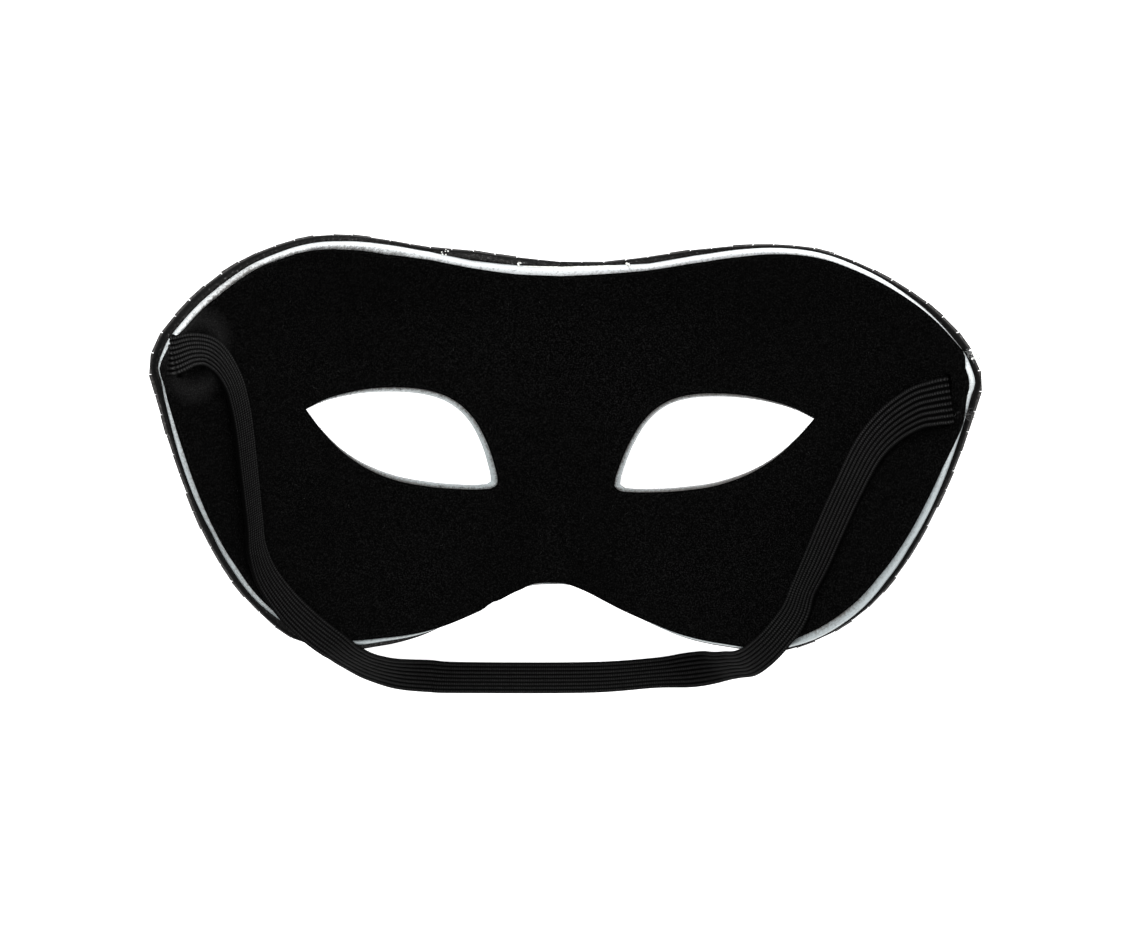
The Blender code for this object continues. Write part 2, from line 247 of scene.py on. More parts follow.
# Outline of the right half: x as a share of HALF_WIDTH, y of FACE_HEIGHT. The rows of
# OUTLINE_JOINTS part its brow, side and cheek.
OUTLINE = (
    (0.000, 0.428), (0.115, 0.433), (0.229, 0.445), (0.344, 0.462), (0.436, 0.480),
    (0.528, 0.491), (0.620, 0.488), (0.711, 0.464), (0.803, 0.423), (0.895, 0.361),
    (0.964, 0.291), (0.988, 0.249), (1.000, 0.207), (0.991, 0.168), (0.982, 0.122),
    (0.956, 0.020), (0.924, -0.084), (0.882, -0.194), (0.831, -0.293), (0.762, -0.383),
    (0.665, -0.460), (0.551, -0.503), (0.436, -0.503), (0.321, -0.490), (0.209, -0.456),
    (0.104, -0.415), (0.046, -0.4015), (0.000, -0.399),
)
OUTLINE_JOINTS = (0, 12, 21, 27)

# Right eye hole, from its middle: x as a share of EYE_HALF_LENGTH, y of EYE_HALF_HEIGHT
UPPER_LID = (
    (-1.000, -0.920), (-0.982, -0.688), (-0.883, -0.128), (-0.731, 0.392), (-0.529, 0.744),
    (-0.283, 0.928), (0.031, 1.000), (0.390, 0.984), (0.749, 0.864), (1.000, 0.680),
)
UPPER_LID_JOINTS = (0, 4, 9)
LOWER_LID = (
    (1.000, 0.680), (0.839, 0.288), (0.614, -0.152), (0.345, -0.512), (0.031, -0.776),
    (-0.283, -0.912), (-0.596, -0.984), (-0.919, -1.008), (-1.000, -0.920),
)
LOWER_LID_JOINTS = (0, 4, 8)

# How far the free edges stand out past the outline, in millimetres. Each row: the place
# (0 the brow's middle, 1 the temple, 2 the lobe's lowest, 3 the nose arch), then the left
# and the right side of the tiles, of the base and of the lining
EDGE_MOVES = (
    (0.00, -0.5, -0.5, -0.6, -0.6, -0.7, -0.7),
    (0.10, -0.2, -0.9, -0.9, -0.5, -0.9, -0.4),
    (0.20, 0.0, -0.5, -1.1, -0.9, -0.7, -0.3),
    (0.30, -0.7, 0.1, -0.5, -0.1, -0.2, 0.3),
    (0.40, -0.7, -0.3, -0.6, 0.0, -0.8, 0.4),
    (0.50, -0.2, -0.5, -0.5, 0.0, -0.3, 0.8),
    (0.60, 0.2, -0.5, -0.1, 0.0, 0.5, 1.0),
    (0.70, 0.6, -0.6, 0.0, -0.2, 0.7, 0.9),
    (0.80, 0.5, -0.3, -0.5, -0.5, 0.0, 0.9),
    (0.90, 0.2, -0.3, -0.8, -0.9, -0.3, 0.6),
    (0.93, 0.3, -0.6, -0.8, -1.0, -0.1, 0.5),
    (0.96, 0.3, -0.6, -0.8, -1.0, 0.1, -0.8),
    (1.00, 0.3, -0.2, -0.8, -1.0, 0.3, -1.0),
    (1.12, -0.2, -0.2, -0.7, -0.8, -0.1, 0.2),
    (1.25, -0.3, -0.1, -0.6, -0.6, -0.5, -0.7),
    (1.38, -0.4, -0.2, -0.7, -0.5, -0.7, -1.0),
    (1.50, -0.3, 0.0, -1.1, -0.6, -0.9, -1.2),
    (1.62, -0.3, 0.0, -1.0, -0.5, -1.1, -1.4),
    (1.75, 0.1, 0.1, -0.6, -0.1, -0.6, -1.2),
    (1.88, 1.1, 0.0, -0.5, 0.0, 0.0, -1.1),
    (2.00, 0.9, 0.3, 0.1, 0.0, -0.5, -0.3),
    (2.12, 1.1, 0.0, 0.3, 0.0, -0.3, 0.0),
    (2.25, 0.9, 0.0, 0.2, 0.0, -0.1, 0.0),
    (2.50, 0.0, -0.3, 0.0, -0.3, 0.1, -0.5),
    (2.66, 0.3, -0.4, 0.3, -0.4, 0.2, -0.4),
    (2.70, 0.3, -0.4, 0.3, -0.4, -0.4, -0.4),
    (2.74, 0.1, -0.4, 0.1, -0.4, 0.1, -0.4),
    (2.86, 0.0, -0.5, 0.0, -0.5, 0.0, -0.5),
    (2.91, 0.1, -0.3, 0.1, -0.3, -0.5, -0.7),
    (3.00, 0.1, 0.1, 0.1, 0.1, -0.5, -0.5),
)
TILES, BASE, LINING = 1, 3, 5

# Middle line of the strap from the left slot to the right one: x, y and z in
# millimetres, the tilt of its width in degrees, and its width as a share of STRAP_WIDTH
STRAP_ROUTE = (
    (-88.0, 27.7, 51.4, 12, 1.32),
    (-87.4, 27.7, 52.7, 12, 1.30),
    (-86.0, 27.9, 52.2, 14, 1.20),
    (-83.0, 28.2, 49.4, 22, 1.08),
    (-79.9, 27.2, 46.5, 36, 1.00),
    (-77.3, 24.3, 43.2, 50, 1.00),
    (-74.9, 20.0, 41.3, 57, 1.00),
    (-73.3, 15.3, 40.4, 58, 1.00),
    (-71.9, 8.4, 40.4, 59, 1.00),
    (-70.7, -1.0, 41.1, 60, 1.00),
    (-69.2, -13.5, 41.7, 62, 1.00),
    (-68.5, -20.3, 41.9, 58, 1.00),
    (-66.3, -27.1, 40.8, 48, 1.00),
    (-61.9, -33.5, 40.6, 36, 1.00),
    (-57.7, -38.2, 39.8, 24, 1.00),
    (-53.9, -41.8, 38.8, 14, 1.00),
    (-50.4, -44.5, 38.4, 4, 1.00),
    (-46.9, -49.2, 32.5, -3, 1.00),
    (-41.7, -56.0, 21.0, 0, 1.06),
    (-35.0, -62.2, 8.8, 4, 1.17),
    (-27.9, -65.3, 2.0, 2, 1.18),
    (-19.8, -66.0, 0.9, 0, 1.13),
    (10.5, -65.5, 0.9, 0, 1.12),
    (26.5, -64.1, 0.9, 0, 1.10),
    (34.3, -62.7, 2.4, 10, 1.24),
    (39.3, -60.2, 6.9, 24, 1.19),
    (42.5, -55.2, 18.5, 34, 1.03),
    (44.9, -50.0, 30.8, 31, 1.03),
    (47.5, -45.4, 36.6, 21, 1.03),
    (50.7, -40.7, 38.6, 17, 1.00),
    (54.6, -35.9, 36.5, 33, 1.00),
    (56.8, -30.8, 34.0, 46, 1.00),
    (59.5, -23.5, 34.0, 34, 1.00),
    (61.9, -15.8, 35.0, 29, 1.00),
    (65.2, -5.5, 36.9, 24, 1.00),
    (69.0, 4.9, 39.3, 24, 1.08),
    (73.3, 11.8, 42.2, 29, 1.24),
    (78.0, 17.0, 46.6, 34, 1.42),
    (81.5, 19.2, 49.6, 20, 1.52),
    (83.6, 20.0, 50.6, 13, 1.58),
    (85.0, 20.2, 50.3, 12, 1.58),
)


def hills(x, y, middle, spread):
    """Two equal smooth hills, one on each side of the centre line, of height 1."""
    right = np.exp(-(((x - middle[0]) / spread[0]) ** 2))
    left = np.exp(-(((x + middle[0]) / spread[0]) ** 2))
    return (right + left) * np.exp(-(((y - middle[1]) / spread[1]) ** 2))


def nose_ridge(x, y):
    way = np.maximum(0.0, (NOSE_ROOT_Y - y) / (NOSE_ROOT_Y - NOSE_TIP_Y))
    spread = NOSE_SPREAD_ROOT + (NOSE_SPREAD_TIP - NOSE_SPREAD_ROOT) * way
    return NOSE_HEIGHT * way**NOSE_GROWTH * np.exp(-((x / spread) ** 2))


def face_depth(x, y):
    """Z of the base's inner face over points of the face plane."""
    z = TEMPLE_DEPTH * (np.abs(x) / HALF_WIDTH) ** WRAP_POWER
    z = z + np.maximum(0.0, y - BROW_ROLL_START) ** 2 / (2 * BROW_ROLL_RADIUS)
    z = z + np.maximum(0.0, CHEEK_ROLL_START - y) ** 2 / (2 * CHEEK_ROLL_RADIUS)
    z = z - BROW_HEIGHT * hills(x, y, BROW, BROW_SPREAD)
    z = z + SOCKET_DEPTH * hills(x, y, EYE, SOCKET_SPREAD)
    z = z - CHEEK_HEIGHT * hills(x, y, CHEEK, CHEEK_SPREAD)
    return z - nose_ridge(x, y)


def face_points(places, outwards=0.0):
    """Points of the face over places of the face plane, a distance towards the front."""
    x, y = places[:, 0], places[:, 1]
    step = HALF_WIDTH / 1000
    slope_x = (face_depth(x + step, y) - face_depth(x - step, y)) / (2 * step)
    slope_y = (face_depth(x, y + step) - face_depth(x, y - step)) / (2 * step)
    normals = np.stack([-slope_x, -slope_y, np.ones_like(x)], axis=1)
    normals /= np.linalg.norm(normals, axis=1)[:, None]
    points = np.stack([x, y, face_depth(x, y)], axis=1)
    return points - normals * np.reshape(outwards, (-1, 1)), normals


def to_world(points):
    """Points of the face frame as they lie on the table."""
    return turn_to_world(points) + np.array(REST_PLACE)


def from_world(points):
    return (points - np.array(REST_PLACE)) @ np.array(REST_TURN)


def turn_to_world(vectors):
    return vectors @ np.array(REST_TURN).T


def smooth_line(points, steps=CURVE_STEPS):
    """Points along a Catmull-Rom curve through the given ones, steps to each span."""
    points = np.asarray(points, float)
    padded = np.vstack([2 * points[0] - points[1], points, 2 * points[-1] - points[-2]])
    a, b, c, d = padded[:-3], padded[1:-2], padded[2:-1], padded[3:]
    line = []
    for step in range(steps):
        t = step / steps
        bend = (2 * a - 5 * b + 4 * c - d) * t**2 + (3 * b - a - 3 * c + d) * t**3
        line.append(0.5 * (2 * b + (c - a) * t + bend))
    woven = np.stack(line, axis=1).reshape(-1, points.shape[1])
    return np.vstack([woven, points[-1]])


def line_lengths(line):
    return np.concatenate([[0.0], np.cumsum(np.linalg.norm(np.diff(line, axis=0), axis=1))])


def picked(line, lengths, goals):
    """Points of a line in the face plane where its lengths reach the goals."""
    return np.stack([np.interp(goals, lengths, line[:, k]) for k in range(2)], axis=1)


def spaced(line, count):
    """Points at equal steps along a line, its first one among them but not its last."""
    lengths = line_lengths(line)
    return picked(line, lengths, np.linspace(0.0, lengths[-1], count + 1)[:-1])


def sections(table, size, middle, joints, stations):
    """The stations of each section of one smooth line through a table's points."""
    line = smooth_line(np.array(table) * np.array(size) + np.array(middle))
    made = []
    for start, end, count in zip(joints, joints[1:], stations):
        made.append(spaced(line[start * CURVE_STEPS : end * CURVE_STEPS + 1], count))
    return made


def outline_loop():
    """The right half's outer loop: brow, side, cheek, then up the centre line."""
    parts = sections(OUTLINE, (HALF_WIDTH, FACE_HEIGHT), (0, 0), OUTLINE_JOINTS, FREE_STATIONS)
    bottom = np.array([[0.0, OUTLINE[-1][1] * FACE_HEIGHT], [0.0, OUTLINE[0][1] * FACE_HEIGHT]])
    return np.vstack([*parts, spaced(bottom, NOSE_STATIONS)])


def eye_loop(side):
    """One side's eye hole, drawn on the right; its points face those of the outer loop."""
    size = (EYE_HALF_LENGTH, EYE_HALF_HEIGHT)
    upper = sections(UPPER_LID, size, EYE, UPPER_LID_JOINTS, (NOSE_STATIONS, BROW_STATIONS))
    lower = sections(LOWER_LID, size, EYE, LOWER_LID_JOINTS, (SIDE_STATIONS, CHEEK_STATIONS))
    loop = np.vstack([upper[1], lower[0], lower[1], upper[0]])
    out = outwards(loop)
    drawn = EYE_DRAWN_TO_NOSE[side > 0] * np.maximum(0.0, -out[:, 0]) ** 2
    return loop + out * drawn[:, None]


def outwards(loop):
    """Unit vectors in the face plane, out of a clockwise loop at each of its points."""
    along = np.roll(loop, -1, axis=0) - np.roll(loop, 1, axis=0)
    out = np.stack([-along[:, 1], along[:, 0]], axis=1)
    return out / np.linalg.norm(out, axis=1)[:, None]


def edge_moves(layer, side):
    """What EDGE_MOVES says of one layer on one side, at each station of the free edge."""
    places = [number + np.arange(count) / count for number, count in enumerate(FREE_STATIONS)]
    table = np.array(EDGE_MOVES)
    return np.interp(np.concatenate(places), table[:, 0], table[:, layer + (side > 0)]) * MM


def moved_outline(at_brow, at_side, layer, side):
    """The outer loop with its free edge moved out by direction and by EDGE_MOVES."""
    loop = outline_loop()
    out = outwards(loop)
    move = at_brow * np.maximum(0.0, out[:, 1]) ** 2 + at_side * out[:, 0] ** 2
    drawn = edge_moves(layer, side)
    move[:FREE] += drawn
    moved = loop + out * move[:, None]
    top = loop[0] + np.array([0.0, at_brow + drawn[0]])
    arch = loop[FREE] - np.array([0.0, EDGE_MOVES[-1][layer] * MM])
    moved[FREE:] = spaced(np.array([arch, top]), NOSE_STATIONS)
    moved[0] = top
    return moved


def ring_shares():
    """Shares from the eye hole to the outline, closer together near the two edges."""
    way = np.linspace(0.0, 1.0, RINGS)
    return way - RING_CROWDING * np.sin(2 * math.pi * way)


def face_sheet(at_brow, at_side, eye_growth, layer, lip=0.0):
    """Places and quads of the whole face, welded at the centre line."""
    count = FREE + NOSE_STATIONS
    shares = ring_shares()[:, None, None]
    halves = []
    for side in (1, -1):
        outline = moved_outline(at_brow, at_side, layer, side)
        eye = eye_loop(side)
        out = outwards(eye)
        at_nose = np.maximum(0.0, -out[:, 0]) ** 2
        inwards = lip * (EYE_LIP[side > 0] + EYE_LIP_AT_NOSE[side > 0] * at_nose)
        eye = eye + out * (eye_growth - inwards)[:, None]
        halves.append((eye * (1 - shares) + outline * shares).reshape(-1, 2))
    right, left = halves
    last_ring = (RINGS - 1) * count
    middle = [last_ring, *range(last_ring + FREE, last_ring + count)]
    mirrored = np.arange(len(right)) + len(right)
    mirrored[middle] = middle
    kept = mirrored >= len(right)
    mirrored[kept] = len(right) + np.arange(kept.sum())
    places = np.vstack([right, left[kept] * MIRROR])
    ring, station = np.meshgrid(np.arange(RINGS - 1), np.arange(count), indexing="ij")
    corner = (ring * count + station).ravel()
    before = (ring * count + (station - 1) % count).ravel()
    quads = np.stack([corner, before, before + count, corner + count], axis=1)
    return places, np.vstack([quads, mirrored[quads][:, ::-1]])


def new_piece(name, points, faces, materials, smooth=True):
    """An object at the origin from points in metres and lists of corners."""
    data = bpy.data.meshes.new(name)
    data.from_pydata([tuple(p) for p in points], [], [tuple(int(c) for c in f) for f in faces])
    for material in materials:
        data.materials.append(material)
    if smooth:
        data.shade_smooth()
    data.validate()
    return linked(name, data)


def linked(name, data):
    made = bpy.data.objects.new(name, data)
    bpy.context.scene.collection.objects.link(made)
    return made


def from_bmesh(name, mesh):
    data = bpy.data.meshes.new(name)
    mesh.to_mesh(data)
    mesh.free()
    return linked(name, data)


def ring_faces(start, around):
    """Quads between one ring of points and the next."""
    faces = []
    for number in range(start, start + around):
        after = start + (number + 1 - start) % around
        faces.append((number, after, after + around, number + around))
    return faces


def tube(name, rings, material):
    """A closed tube through rings of equally many points."""
    around = len(rings[0])
    last = (len(rings) - 1) * around
    faces = []
    for start in range(0, last, around):
        faces += ring_faces(start, around)
    faces += [tuple(range(around))[::-1], tuple(range(last, last + around))]
    return new_piece(name, np.vstack(rings), faces, [material])


def boundary_loops(quads):
    """The open edges of a sheet, each from its quad's own direction."""
    ends = np.concatenate([quads[:, [k, (k + 1) % 4]] for k in range(4)])
    seen = {tuple(pair) for pair in ends.tolist()}
    return np.array([pair for pair in seen if (pair[1], pair[0]) not in seen])


def shell(name, edges, top, back, material, bulge=0.55, lip=0.0):
    """A closed layer of the face between two distances, with rounded edges."""
    places, quads = face_sheet(*edges)
    base_points, normals = face_points(places)
    back_places, _ = face_sheet(*edges, lip=lip)
    corners = base_points[quads[0]]
    if np.cross(corners[1] - corners[0], corners[2] - corners[0])[2] < 0:
        quads = quads[:, ::-1]
    upper = base_points - normals * top
    lower, _ = face_points(back_places, back)
    pairs = boundary_loops(quads)
    after = dict(pairs.tolist())
    before = {end: start for start, end in pairs.tolist()}
    rim = sorted(after)
    number = {corner: row for row, corner in enumerate(rim)}
    tangent = base_points[[after[c] for c in rim]] - base_points[[before[c] for c in rim]]
    out = np.cross(tangent, normals[rim])
    out /= np.linalg.norm(out, axis=1)[:, None]
    middle = (upper[rim] + lower[rim]) / 2
    half = (upper[rim] - lower[rim]) / 2
    reach = (top - back) / 2 * -bulge
    points = [upper, lower]
    for row in range(1, EDGE_ROWS):
        angle = math.pi * (0.5 - row / EDGE_ROWS)
        rise = math.copysign(abs(math.sin(angle)) ** EDGE_SQUARE_UP, math.sin(angle))
        swell = reach * (math.cos(angle) ** EDGE_SQUARE_OUT - EDGE_START)
        points.append(middle + half * rise + out * swell)
    count = len(places)
    faces = [*quads, *(quads[:, ::-1] + count)]

    def corner(level, vertex):
        if level == 0:
            return vertex
        if level == EDGE_ROWS:
            return vertex + count
        return 2 * count + (level - 1) * len(rim) + number[vertex]

    for start, end in pairs.tolist():
        for level in range(EDGE_ROWS):
            faces.append((
                corner(level, end),
                corner(level, start),
                corner(level + 1, start),
                corner(level + 1, end),
            ))
    return new_piece(name, to_world(np.vstack(points)), faces, [material])


def add_slot(lining, slot):
    """Cuts one strap slot through the lining, upright on the face."""
    x, y, length = slot
    point, normal = face_points(np.array([[x, y]]))
    place = Vector(to_world(point)[0])
    normal = Vector(turn_to_world(normal)[0])
    upright = Vector(turn_to_world(np.array([[0.0, 1.0, 0.0]]))[0])
    along = (upright - normal * upright.dot(normal)).normalized()
    turn = Matrix((along.cross(normal), along, normal)).transposed().to_4x4()
    size = Matrix.Diagonal((SLOT_WIDTH, length, SLOT_TOP - SLOT_FLOOR, 1.0))
    place += normal * (SLOT_TOP + SLOT_FLOOR) / 2
    mesh = bmesh.new()
    bmesh.ops.create_cube(mesh, size=1.0, matrix=Matrix.Translation(place) @ turn @ size)
    cutter = from_bmesh("slot_cutter", mesh)
    boolean = lining.modifiers.new("slot", "BOOLEAN")
    boolean.operation = "DIFFERENCE"
    boolean.object = cutter
    apply_modifiers(lining)
    bpy.data.objects.remove(cutter, do_unlink=True)


def apply_modifiers(piece):
    bpy.context.view_layer.update()
    graph = bpy.context.evaluated_depsgraph_get()
    data = bpy.data.meshes.new_from_object(piece.evaluated_get(graph))
    piece.modifiers.clear()
    piece.data = data


def unit(vectors):
    return vectors / np.linalg.norm(vectors, axis=-1, keepdims=True)


def strap_frames():
    """Middle line of the strap with the directions of its width and of its upper face."""
    rows = smooth_line(STRAP_ROUTE, STRAP_STEPS)
    points = rows[:, :3] * MM
    along = unit(np.gradient(points, axis=0))
    level = unit(np.cross(along, np.array([0.0, 0.0, 1.0])))
    tilt = np.radians(rows[:, 3])[:, None]
    side = level * np.cos(tilt) - np.cross(along, level) * np.sin(tilt)
    return points, side, np.cross(side, along), rows[:, 4]


def rib_section(share):
    """One face of the strap's section: place across and height, both as lengths."""
    pitch = STRAP_WIDTH * share / STRAP_RIBS
    half_rib = min(pitch, RIB_WIDTH) / 2
    across = []
    height = []
    for rib in range(STRAP_RIBS):
        middle = (rib + 0.5 - STRAP_RIBS / 2) * pitch
        for way, rise in RIB_PROFILE:
            across.append(middle + way * half_rib)
            height.append(rise * STRAP_THICKNESS / 2)
    return np.array(across), np.array(height)


def make_strap(material):
    points, side, face, shares = strap_frames()
    lengths = line_lengths(points)
    rows = []
    for place, width_way, face_way, share in zip(points, side, face, shares):
        across, height = rib_section(share)
        upper = place + across[:, None] * width_way + height[:, None] * face_way
        lower = place + across[:, None] * width_way - height[:, None] * face_way
        rows.append(np.vstack([upper, lower[::-1]]))
    piece = tube("elastic_strap_ribbed", rows, material)
    layer = piece.data.uv_layers.new(name="weave")
    around = len(rows[0])
    half = around // 2
    for polygon in piece.data.polygons:
        for loop in polygon.loop_indices:
            row, number = divmod(piece.data.loops[loop].vertex_index, around)
            across = number if number < half else around - 1 - number
            layer.data[loop].uv = (across / (half - 1), lengths[row] / STRAP_WIDTH)
    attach(piece, "root")
    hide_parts("elastic_strap")


def clip(polygon, point, inward):
    """The part of a convex polygon on the inward side of a line through a point."""
    kept = []
    heights = (polygon - point) @ inward
    for number, corner in enumerate(polygon):
        before = number - 1
        if (heights[number] > 0) != (heights[before] > 0):
            share = heights[before] / (heights[before] - heights[number])
            kept.append(polygon[before] + (corner - polygon[before]) * share)
        if heights[number] > 0:
            kept.append(corner)
    return np.array(kept)


def polygon_area(polygon):
    x, y = polygon[:, 0], polygon[:, 1]
    return 0.5 * float(np.dot(x, np.roll(y, -1)) - np.dot(y, np.roll(x, -1)))


def shrunk(polygon, gap):
    """A convex polygon with each side moved in."""
    if polygon_area(polygon) < 0:
        polygon = polygon[::-1]
    small = polygon
    for number, corner in enumerate(polygon):
        along = corner - polygon[number - 1]
        length = np.linalg.norm(along)
        if length < 1e-6 or len(small) < 3:
            continue
        inward = np.array([-along[1], along[0]]) / length
        small = clip(small, corner + inward * gap, inward)
    return small


def face_stretch(places, ways):
    """How much longer a step on the face is than in the face plane."""
    ahead = face_depth(*(places + ways * SLOPE_STEP).T)
    back = face_depth(*(places - ways * SLOPE_STEP).T)
    return np.sqrt(1 + ((ahead - back) / (2 * SLOPE_STEP)) ** 2)


def cover_outline(side):
    """Free edge of one half of the cover, drawn on the right, from the brow to the nose arch."""
    moved = moved_outline(COVER_OVERHANG_BROW, COVER_OVERHANG_SIDE, TILES, side)
    return moved[: FREE + 1]


def paced(line, pitch):
    """Points along an edge of the face at equal steps of its real length, both ends among them."""
    solid, _ = face_points(line)
    lengths = line_lengths(solid)
    count = max(1, round(lengths[-1] / pitch))
    return picked(line, lengths, np.linspace(0.0, lengths[-1], count + 1))


def border_tiles(joints, depth, turn):
    """Tiles of one row along an edge; turn is 1 where the face lies to the edge's left."""
    left = edge_out(joints) * turn
    inner = joints + left * (depth / face_stretch(joints, left))[:, None]
    tiles = []
    for number in range(len(joints) - 1):
        ends = [joints[number], joints[number + 1], inner[number + 1], inner[number]]
        tiles.append(np.array(ends))
    return tiles, inner


def mirrored_tiles(tiles):
    return [tile[::-1] * MIRROR for tile in tiles]


def grid_tiles(outer_edge, eye_edge):
    """Square tiles in rows over the face, cut at the two border rows."""
    tiles = []
    outer_out = edge_out(outer_edge)
    eye_out = edge_out(eye_edge)
    reach = 0.6 * FACE_HEIGHT
    line_y = np.arange(-reach, reach, MM / 4)
    middle = np.stack([np.full_like(line_y, BROW[0]), line_y], axis=1)
    heights = line_lengths(face_points(middle)[0])
    rows = np.interp(np.arange(0.0, heights[-1], TILE_PITCH), heights, line_y)
    for low, high in zip(rows, rows[1:]):
        line_x = np.arange(0.0, 1.1 * HALF_WIDTH, MM / 4)
        across = np.stack([line_x, np.full_like(line_x, (low + high) / 2)], axis=1)
        widths = line_lengths(face_points(across)[0])
        columns = np.interp(np.arange(0.0, widths[-1], TILE_PITCH), widths, line_x)
        for left, right in zip(columns, columns[1:]):
            tile = np.array([[left, low], [right, low], [right, high], [left, high]])
            tile = cut_at_edge(tile, outer_edge, outer_out, -1)
            if len(tile) > 2:
                tile = cut_at_edge(tile, eye_edge, eye_out, 1)
            if len(tile) > 2 and abs(polygon_area(tile)) > SMALLEST_TILE:
                tiles.append(tile)
    return tiles


def edge_out(edge):
    """Unit vectors out of a clockwise line, by its neighbours."""
    ways = np.gradient(edge, axis=0)
    return unit(np.stack([-ways[:, 1], ways[:, 0]], axis=1))


def cut_at_edge(tile, edge, out, side):
    """A tile without what lies past an edge: side -1 keeps its inside, 1 its outside."""
    far = 1.6 * TILE_PITCH
    middle = tile.mean(axis=0)
    near = np.argmin(np.linalg.norm(edge - middle, axis=1))
    spots = [near]
    if side < 0:
        spots += [np.argmin(np.linalg.norm(edge - corner, axis=1)) for corner in tile]
    for spot in spots:
        if len(tile) < 3:
            break
        distance = np.linalg.norm(edge[spot] - middle)
        inside = (middle - edge[spot]) @ out[spot] * side > 0
        if distance > far and inside:
            continue
        if distance > far:
            return np.zeros((0, 2))
        tile = clip(tile, edge[spot], out[spot] * side)
    return tile


def make_tiles(polygons, materials, random):
    """Each polygon as a flat tile with a bevelled front, on the cover's backing."""
    points = []
    faces = []
    kinds = []
    shades = []
    for polygon in polygons:
        small = shrunk(polygon, TILE_GAP / 2)
        if len(small) < 3 or abs(polygon_area(small)) < SMALLEST_TILE:
            continue
        seat, _ = face_points(small, TILE_BACK)
        _, normal = face_points(small.mean(axis=0)[None])
        out = -unit(normal[0] + random.normal(0.0, TILE_TILT, 3))
        middle = seat.mean(axis=0)
        seat = seat - np.outer((seat - middle) @ out, out)
        thickness = (TILE_FRONT - TILE_BACK) * random.uniform(TILE_THINNEST, 1.0)
        crown = middle + (seat - middle) * (1 - TILE_BEVEL / np.abs(seat - middle).max())
        rings = [
            seat,
            seat + out * (thickness - TILE_BEVEL * 0.7),
            crown + out * thickness,
        ]
        start = sum(len(block) for block in points)
        block = to_world(np.vstack(rings))
        block[:, 2] = np.maximum(block[:, 2], 0.0)
        points.append(block)
        count = len(seat)
        faces += ring_faces(start, count) + ring_faces(start + count, count)
        faces.append(tuple(range(start, start + count))[::-1])
        faces.append(tuple(range(start + 2 * count, start + 3 * count)))
        kinds += [1] * count + [0] * count + [1, 0]
        shades += [random.uniform(0.0, 1.0)] * (2 * count + 2)
    piece = new_piece("mosaic_tiles", np.vstack(points), faces, materials, smooth=False)
    piece.data.polygons.foreach_set("material_index", kinds)
    shade = piece.data.attributes.new("shade", "FLOAT", "FACE")
    shade.data.foreach_set("value", shades)
    fix_normals(piece)
    return piece


def fix_normals(piece):
    mesh = bmesh.new()
    mesh.from_mesh(piece.data)
    bmesh.ops.recalc_face_normals(mesh, faces=mesh.faces)
    mesh.to_mesh(piece.data)
    mesh.free()


def half_mosaic(side, random):
    """Tiles of one half of the cover, drawn on the right."""
    edge = cover_outline(side)
    outer, outer_inner = border_tiles(paced(edge, TILE_PITCH), TILE_PITCH, -1)
    for tile in outer:
        tile[:2] += unit(tile[0] - tile[3]) * random.uniform(*EDGE_PLAY)
    eye = eye_loop(side)
    eye = eye + outwards(eye) * COVER_INSET_EYE
    upper = np.vstack([eye[FREE:], eye[: BROW_STATIONS + 1]])
    lower = eye[BROW_STATIONS : FREE + 1]
    around = []
    around_outer = []
    for chain in (upper, lower):
        tiles, far_edge = border_tiles(paced(chain, EYE_TILE_PITCH), EYE_TILE_DEPTH, 1)
        around += tiles
        around_outer.append(far_edge)
    fine = MM / 2
    outer_edge = paced(outer_inner, fine)
    eye_edge = np.vstack([paced(chain, fine) for chain in around_outer])
    return outer + around + grid_tiles(outer_edge, eye_edge)


def make_fibres(name, roots, ways, lengths, width, material, random):
    """Short tapered hairs as one mesh, each bent a little on its way."""
    count = len(roots)
    ways = unit(ways)
    side = unit(np.cross(ways, random.normal(size=(count, 3))))
    other = np.cross(ways, side)
    bend = random.normal(0.0, HAIR_BEND, (count, 1)) * side
    bend = bend + random.normal(0.0, HAIR_BEND, (count, 1)) * other
    lengths = np.reshape(lengths, (-1, 1))
    middle = roots + ways * lengths * HAIR_KNEE
    tip = roots + (ways + bend) * lengths
    corners = []
    for angle in HAIR_SIDES:
        spoke = (side * math.cos(angle) + other * math.sin(angle)) * width / 2
        corners += [roots + spoke, middle + spoke * 0.8]
    points = np.stack([*corners, tip], axis=1).reshape(-1, 3)
    faces = []
    for number in range(count):
        start = 7 * number
        for k in range(3):
            a = start + 2 * k
            b = start + 2 * ((k + 1) % 3)
            faces.append((a, b, b + 1, a + 1))
            faces.append((a + 1, b + 1, start + 6))
        faces.append((start + 4, start + 2, start))
    return new_piece(name, points, faces, [material])


def node(tree, kind, **inputs):
    """A shader node with its inputs set: a socket of another node is linked, a value is set."""
    made = tree.nodes.new(kind)
    for name, value in inputs.items():
        if name in FIELDS:
            setattr(made, name, value)
            continue
        socket = made.inputs[int(name[1:])] if name[0] == "_" else made.inputs[name.replace("_", " ")]
        if isinstance(value, bpy.types.NodeSocket):
            tree.links.new(value, socket)
        else:
            socket.default_value = value
    return made


def ramp(tree, factor, stops):
    """A colour ramp from grey levels or colours at places along it."""
    made = node(tree, "ShaderNodeValToRGB", Fac=factor)
    elements = made.color_ramp.elements
    while len(elements) < len(stops):
        elements.new(0.5)
    for element, (place, colour) in zip(elements, stops):
        element.position = place
        element.color = (*colour, 1.0) if isinstance(colour, tuple) else (*[colour] * 3, 1.0)
    return made.outputs["Color"]


def place_of(tree):
    return tree.nodes.new("ShaderNodeTexCoord").outputs["Object"]


